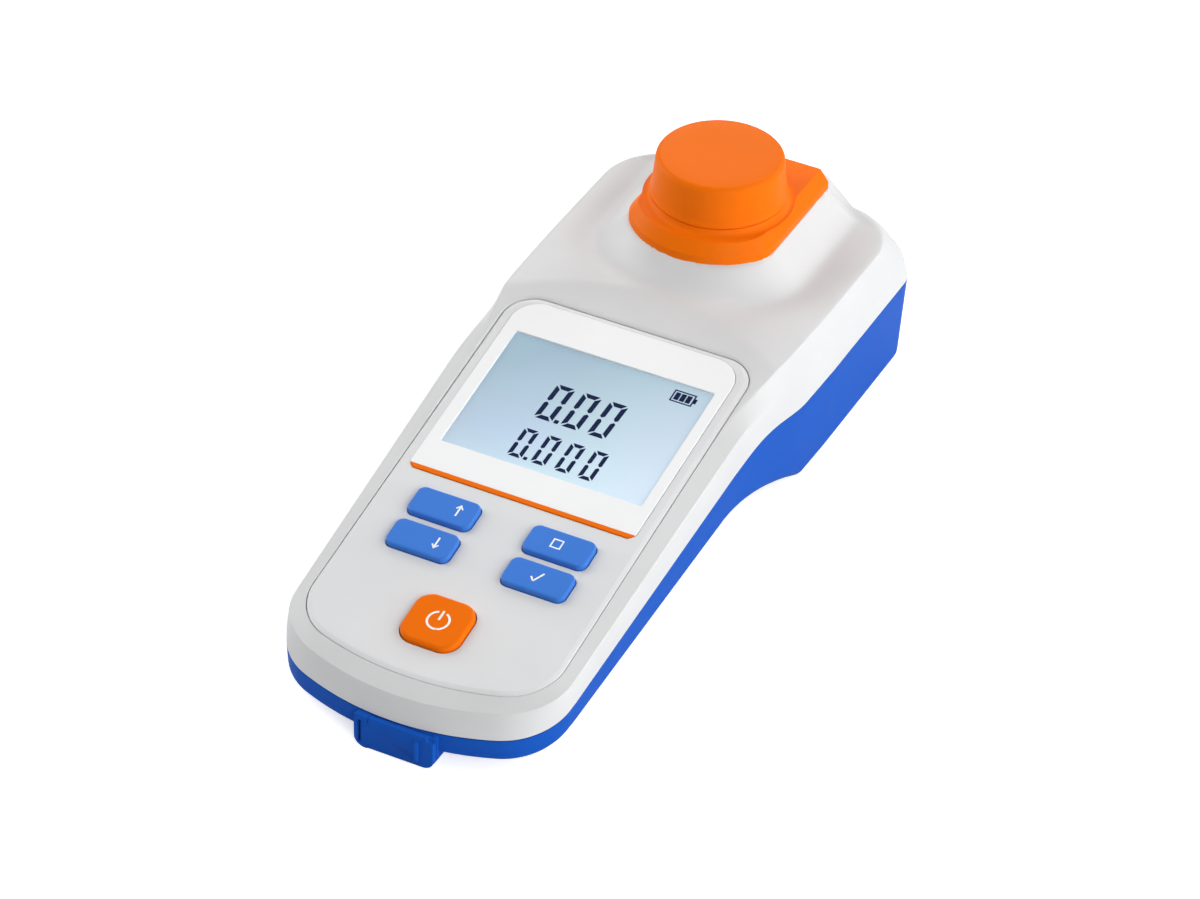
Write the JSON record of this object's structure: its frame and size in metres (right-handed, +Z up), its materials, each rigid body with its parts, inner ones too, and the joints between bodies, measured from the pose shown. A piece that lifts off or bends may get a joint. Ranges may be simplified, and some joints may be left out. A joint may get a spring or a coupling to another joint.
{
  "type": "portable residual chlorine meter",
  "caption": "Hand-held water tester: sloped face with display and keys, round sample well under a lift-off light-shield cap, two-part case with a deep belly.",
  "frame": {"origin": "middle of the footprint on the table plane", "axes": "+X to the right of a person reading the display, +Y toward the sample well, +Z up"},
  "size_m": [0.0906, 0.2298, 0.0741],
  "materials": {
    "case_white": "satin moulded, off-white",
    "case_blue": "satin moulded, royal blue",
    "plate_grey": "satin inlay, light grey",
    "panel_white": "semi-gloss white",
    "window_clear": "clear",
    "orange": "semi-gloss orange",
    "lcd": "backlit display",
    "white_plastic": "moulded",
    "key_blue": "satin",
    "mat_grey": "silicone",
    "steel": "plain",
    "board": "solder mask",
    "black_plastic": "matt",
    "seal_black": "soft",
    "glass_clear": "polished",
    "filter_glass": "coated",
    "led_clear": "clear epoxy",
    "cell_wrap": "shrink sleeve",
    "contact_brass": "sprung blade"
  },
  "bodies": {
    "case": {"upper_case": "case_white", "lower_case": "case_blue", "faceplate": "plate_grey", "display_panel": "panel_white", "display_window": "window_clear", "accent_strip": "orange", "lcd": "lcd", "lcd_carrier": "white_plastic", "keypad_mat": "mat_grey", "switch_domes": "steel", "main_board": "board", "board_screws": "steel", "well_collar": "orange", "well_seal": "seal_black", "cell_well": "black_plastic", "well_windows": "glass_clear", "led_source": "led_clear", "source_board": "board", "colour_filter": "filter_glass", "photodiode": "black_plastic", "detector_board": "board", "well_screws": "steel", "battery_pack": "cell_wrap", "battery_contacts": "contact_brass", "battery_door": "case_blue", "door_screws": "steel", "port_board": "board", "port_socket": "steel", "port_hinge_pin": "steel", "case_seal": "seal_black", "case_screws": "steel"},
    "key_up": {"key_up": "key_blue"},
    "key_down": {"key_down": "key_blue"},
    "key_stop": {"key_stop": "key_blue"},
    "key_enter": {"key_enter": "key_blue"},
    "key_power": {"key_power": "orange"},
    "cap": {"light_shield_cap": "orange", "cap_seal": "seal_black"},
    "port_cover": {"port_cover": "case_blue"}
  },
  "joints": [
    {"name": "key_up_press", "type": "slide", "parent": "case", "child": "key_up", "axis": [0, 0.1925, -0.9813], "range_m": [0, 0.0008], "stiffness_N_per_m": 600},
    {"name": "key_down_press", "type": "slide", "parent": "case", "child": "key_down", "axis": [0, 0.1925, -0.9813], "range_m": [0, 0.0008], "stiffness_N_per_m": 600},
    {"name": "key_stop_press", "type": "slide", "parent": "case", "child": "key_stop", "axis": [0, 0.1925, -0.9813], "range_m": [0, 0.0008], "stiffness_N_per_m": 600},
    {"name": "key_enter_press", "type": "slide", "parent": "case", "child": "key_enter", "axis": [0, 0.1925, -0.9813], "range_m": [0, 0.0008], "stiffness_N_per_m": 600},
    {"name": "key_power_press", "type": "slide", "parent": "case", "child": "key_power", "axis": [0, 0.1925, -0.9813], "range_m": [0, 0.0008], "stiffness_N_per_m": 600},
    {"name": "cap_lift", "type": "slide", "parent": "case", "child": "cap", "axis": [0, 0, 1], "range_m": [0, 0.07]},
    {"name": "port_cover_hinge", "type": "hinge", "parent": "case", "child": "port_cover", "pos_m": [-0.00715, -0.1131, 0.0052], "axis": [0, 0, -1], "range_deg": [0, 90]}
  ]
}
